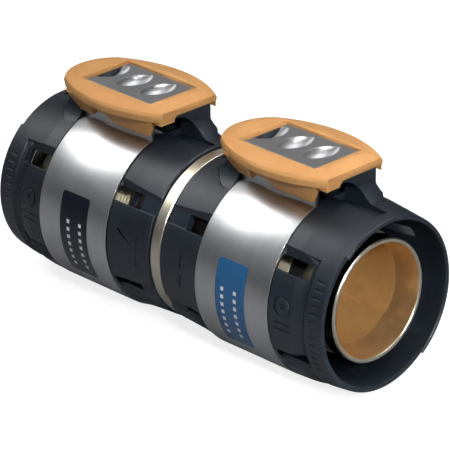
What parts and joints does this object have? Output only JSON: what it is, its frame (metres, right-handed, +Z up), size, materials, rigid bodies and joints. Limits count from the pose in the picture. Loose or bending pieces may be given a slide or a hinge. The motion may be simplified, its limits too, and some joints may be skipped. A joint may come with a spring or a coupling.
{
  "type": "push fit coupling",
  "caption": "Straight coupling for 50 mm composite pipe: brass body with sealed nozzles, black guide sleeves, steel press bands and lift-off press indicators.",
  "frame": {"origin": "middle of the coupling on the flow bore's axis", "axes": "+X along the flow bore towards the end with the blue label, +Z up through the two press indicators, -Y towards the labels"},
  "size_m": [0.1504, 0.0628, 0.0745],
  "materials": {
    "brass": "machined brass",
    "seal_rubber": "moulded EPDM",
    "insulator": "moulded polyethylene",
    "snap_ring": "spring steel",
    "liner": "moulded polyamide",
    "sleeve": "fine moulded texture",
    "band": "satin stainless steel",
    "label_blue": "printed film",
    "label_dark": "printed film",
    "indicator": "moulded orange plastic"
  },
  "bodies": {
    "fitting": {"fitting_body": "brass", "seal_outer_right": "seal_rubber", "seal_inner_right": "seal_rubber", "insulating_ring_right": "insulator", "snap_ring_right": "snap_ring", "seal_outer_left": "seal_rubber", "seal_inner_left": "seal_rubber", "insulating_ring_left": "insulator", "snap_ring_left": "snap_ring"},
    "sleeve_right": {"guide_sleeve_right": "sleeve", "clamp_liner_right": "liner", "press_band_right": "band", "label_right": "label_blue"},
    "indicator_right": {"press_indicator_right": "indicator"},
    "sleeve_left": {"guide_sleeve_left": "sleeve", "clamp_liner_left": "liner", "press_band_left": "band", "label_left": "label_dark"},
    "indicator_left": {"press_indicator_left": "indicator"}
  },
  "joints": [
    {"name": "sleeve_right_turn", "type": "hinge", "parent": "fitting", "child": "sleeve_right", "pos_m": [0.0368, 0, 0], "axis": [1, 0, 0], "continuous": true},
    {"name": "indicator_right_lift", "type": "slide", "parent": "sleeve_right", "child": "indicator_right", "axis": [0, 0, 1], "range_m": [0, 0.015]},
    {"name": "sleeve_left_turn", "type": "hinge", "parent": "fitting", "child": "sleeve_left", "pos_m": [-0.0368, 0, 0], "axis": [1, 0, 0], "continuous": true},
    {"name": "indicator_left_lift", "type": "slide", "parent": "sleeve_left", "child": "indicator_left", "axis": [0, 0, 1], "range_m": [0, 0.015]}
  ]
}
